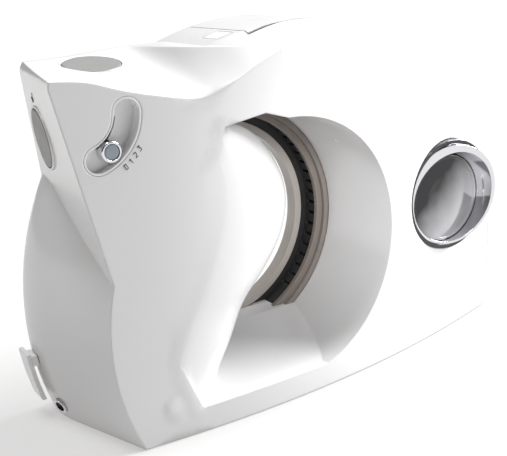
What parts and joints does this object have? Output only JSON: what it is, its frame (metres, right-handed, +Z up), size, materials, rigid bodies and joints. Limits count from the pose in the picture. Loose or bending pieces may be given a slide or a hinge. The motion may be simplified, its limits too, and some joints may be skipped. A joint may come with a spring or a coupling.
{
  "type": "portable vacuum cleaner",
  "caption": "White hand-carried vacuum cleaner with a drum body, D-shaped carrying opening, curved slide control, push buttons and a slanted chrome hose port.",
  "frame": {"origin": "on the flat underside, straight below the drum's centre line and halfway through the body's depth", "axes": "+X to the right seen from the front, +Y from the front plate to the back, +Z up"},
  "size_m": [0.3336, 0.0988, 0.216],
  "materials": {
    "white_shell": "smooth gloss",
    "white_trim": "smooth gloss",
    "black_plastic": "fine matt",
    "taupe_plastic": "satin",
    "beige_plastic": "satin",
    "button_grey": "satin",
    "dark_button": "satin",
    "chrome": "polished",
    "dark_gloss": "polished",
    "lens": "polished",
    "steel": "machined",
    "rubber": "matt",
    "foam": "open cell",
    "paper": "paper",
    "board": "board",
    "print": "printed"
  },
  "bodies": {
    "housing": {"front_housing": "white_shell", "back_panel": "white_trim", "hinge_pins": "steel", "ring_flange": "taupe_plastic", "exhaust_grille": "black_plastic", "exhaust_filter": "foam", "rear_rim": "black_plastic", "rear_lip": "beige_plastic", "port_bezel": "chrome", "inlet_duct": "black_plastic", "bag_plate": "black_plastic", "dust_bag": "paper", "motor_case": "steel", "fan_shroud": "black_plastic", "motor_mount": "rubber", "slide_tray": "white_trim", "speed_board": "board", "digit_marks": "print", "top_button_ring": "white_trim", "top_switch": "black_plastic", "icon_marks": "print", "side_button_ring": "white_trim", "side_switch": "black_plastic", "feet": "rubber", "foot_screws": "steel", "back_screws": "steel", "power_inlet_ring": "chrome", "power_inlet_core": "black_plastic", "rear_clip": "white_trim"},
    "lid": {"dust_lid": "white_shell"},
    "latch": {"latch_pad": "white_trim"},
    "swivel": {"swivel_collar": "chrome"},
    "cap": {"port_cap": "dark_gloss"},
    "rotor": {"motor_shaft": "steel", "fan_impeller": "black_plastic"},
    "slider": {"slide_knob": "chrome", "knob_insert": "lens", "slide_carriage": "black_plastic"},
    "top_push": {"top_button": "button_grey"},
    "side_push": {"side_button": "dark_button"}
  },
  "joints": [
    {"name": "lid_hinge", "type": "hinge", "parent": "housing", "child": "lid", "pos_m": [0.075, 0.0494, 0.012], "axis": [-1, 0, 0], "range_deg": [0, 75]},
    {"name": "latch_slide", "type": "slide", "parent": "housing", "child": "latch", "axis": [0, 0, -1], "range_m": [0, 0.0024], "stiffness_N_per_m": 400},
    {"name": "collar_swivel", "type": "hinge", "parent": "housing", "child": "swivel", "pos_m": [0.092, -0.037, 0.096], "axis": [0, -1, 0], "continuous": true},
    {"name": "cap_lift", "type": "slide", "parent": "swivel", "child": "cap", "axis": [0, -1, 0], "range_m": [0, 0.04]},
    {"name": "fan_spin", "type": "hinge", "parent": "housing", "child": "rotor", "pos_m": [-0.115, 0.014, 0.161], "axis": [0, -1, 0], "continuous": true},
    {"name": "speed_slide", "type": "hinge", "parent": "housing", "child": "slider", "pos_m": [-0.1564, -0.038, 0.1844], "axis": [0, -1, 0], "range_deg": [0, 36]},
    {"name": "top_press", "type": "slide", "parent": "housing", "child": "top_push", "axis": [0, 0.1623, -0.9867], "range_m": [0, 0.0016], "stiffness_N_per_m": 500},
    {"name": "side_press", "type": "slide", "parent": "housing", "child": "side_push", "axis": [0.9855, -0.124, 0.116], "range_m": [0, 0.0016], "stiffness_N_per_m": 500}
  ]
}
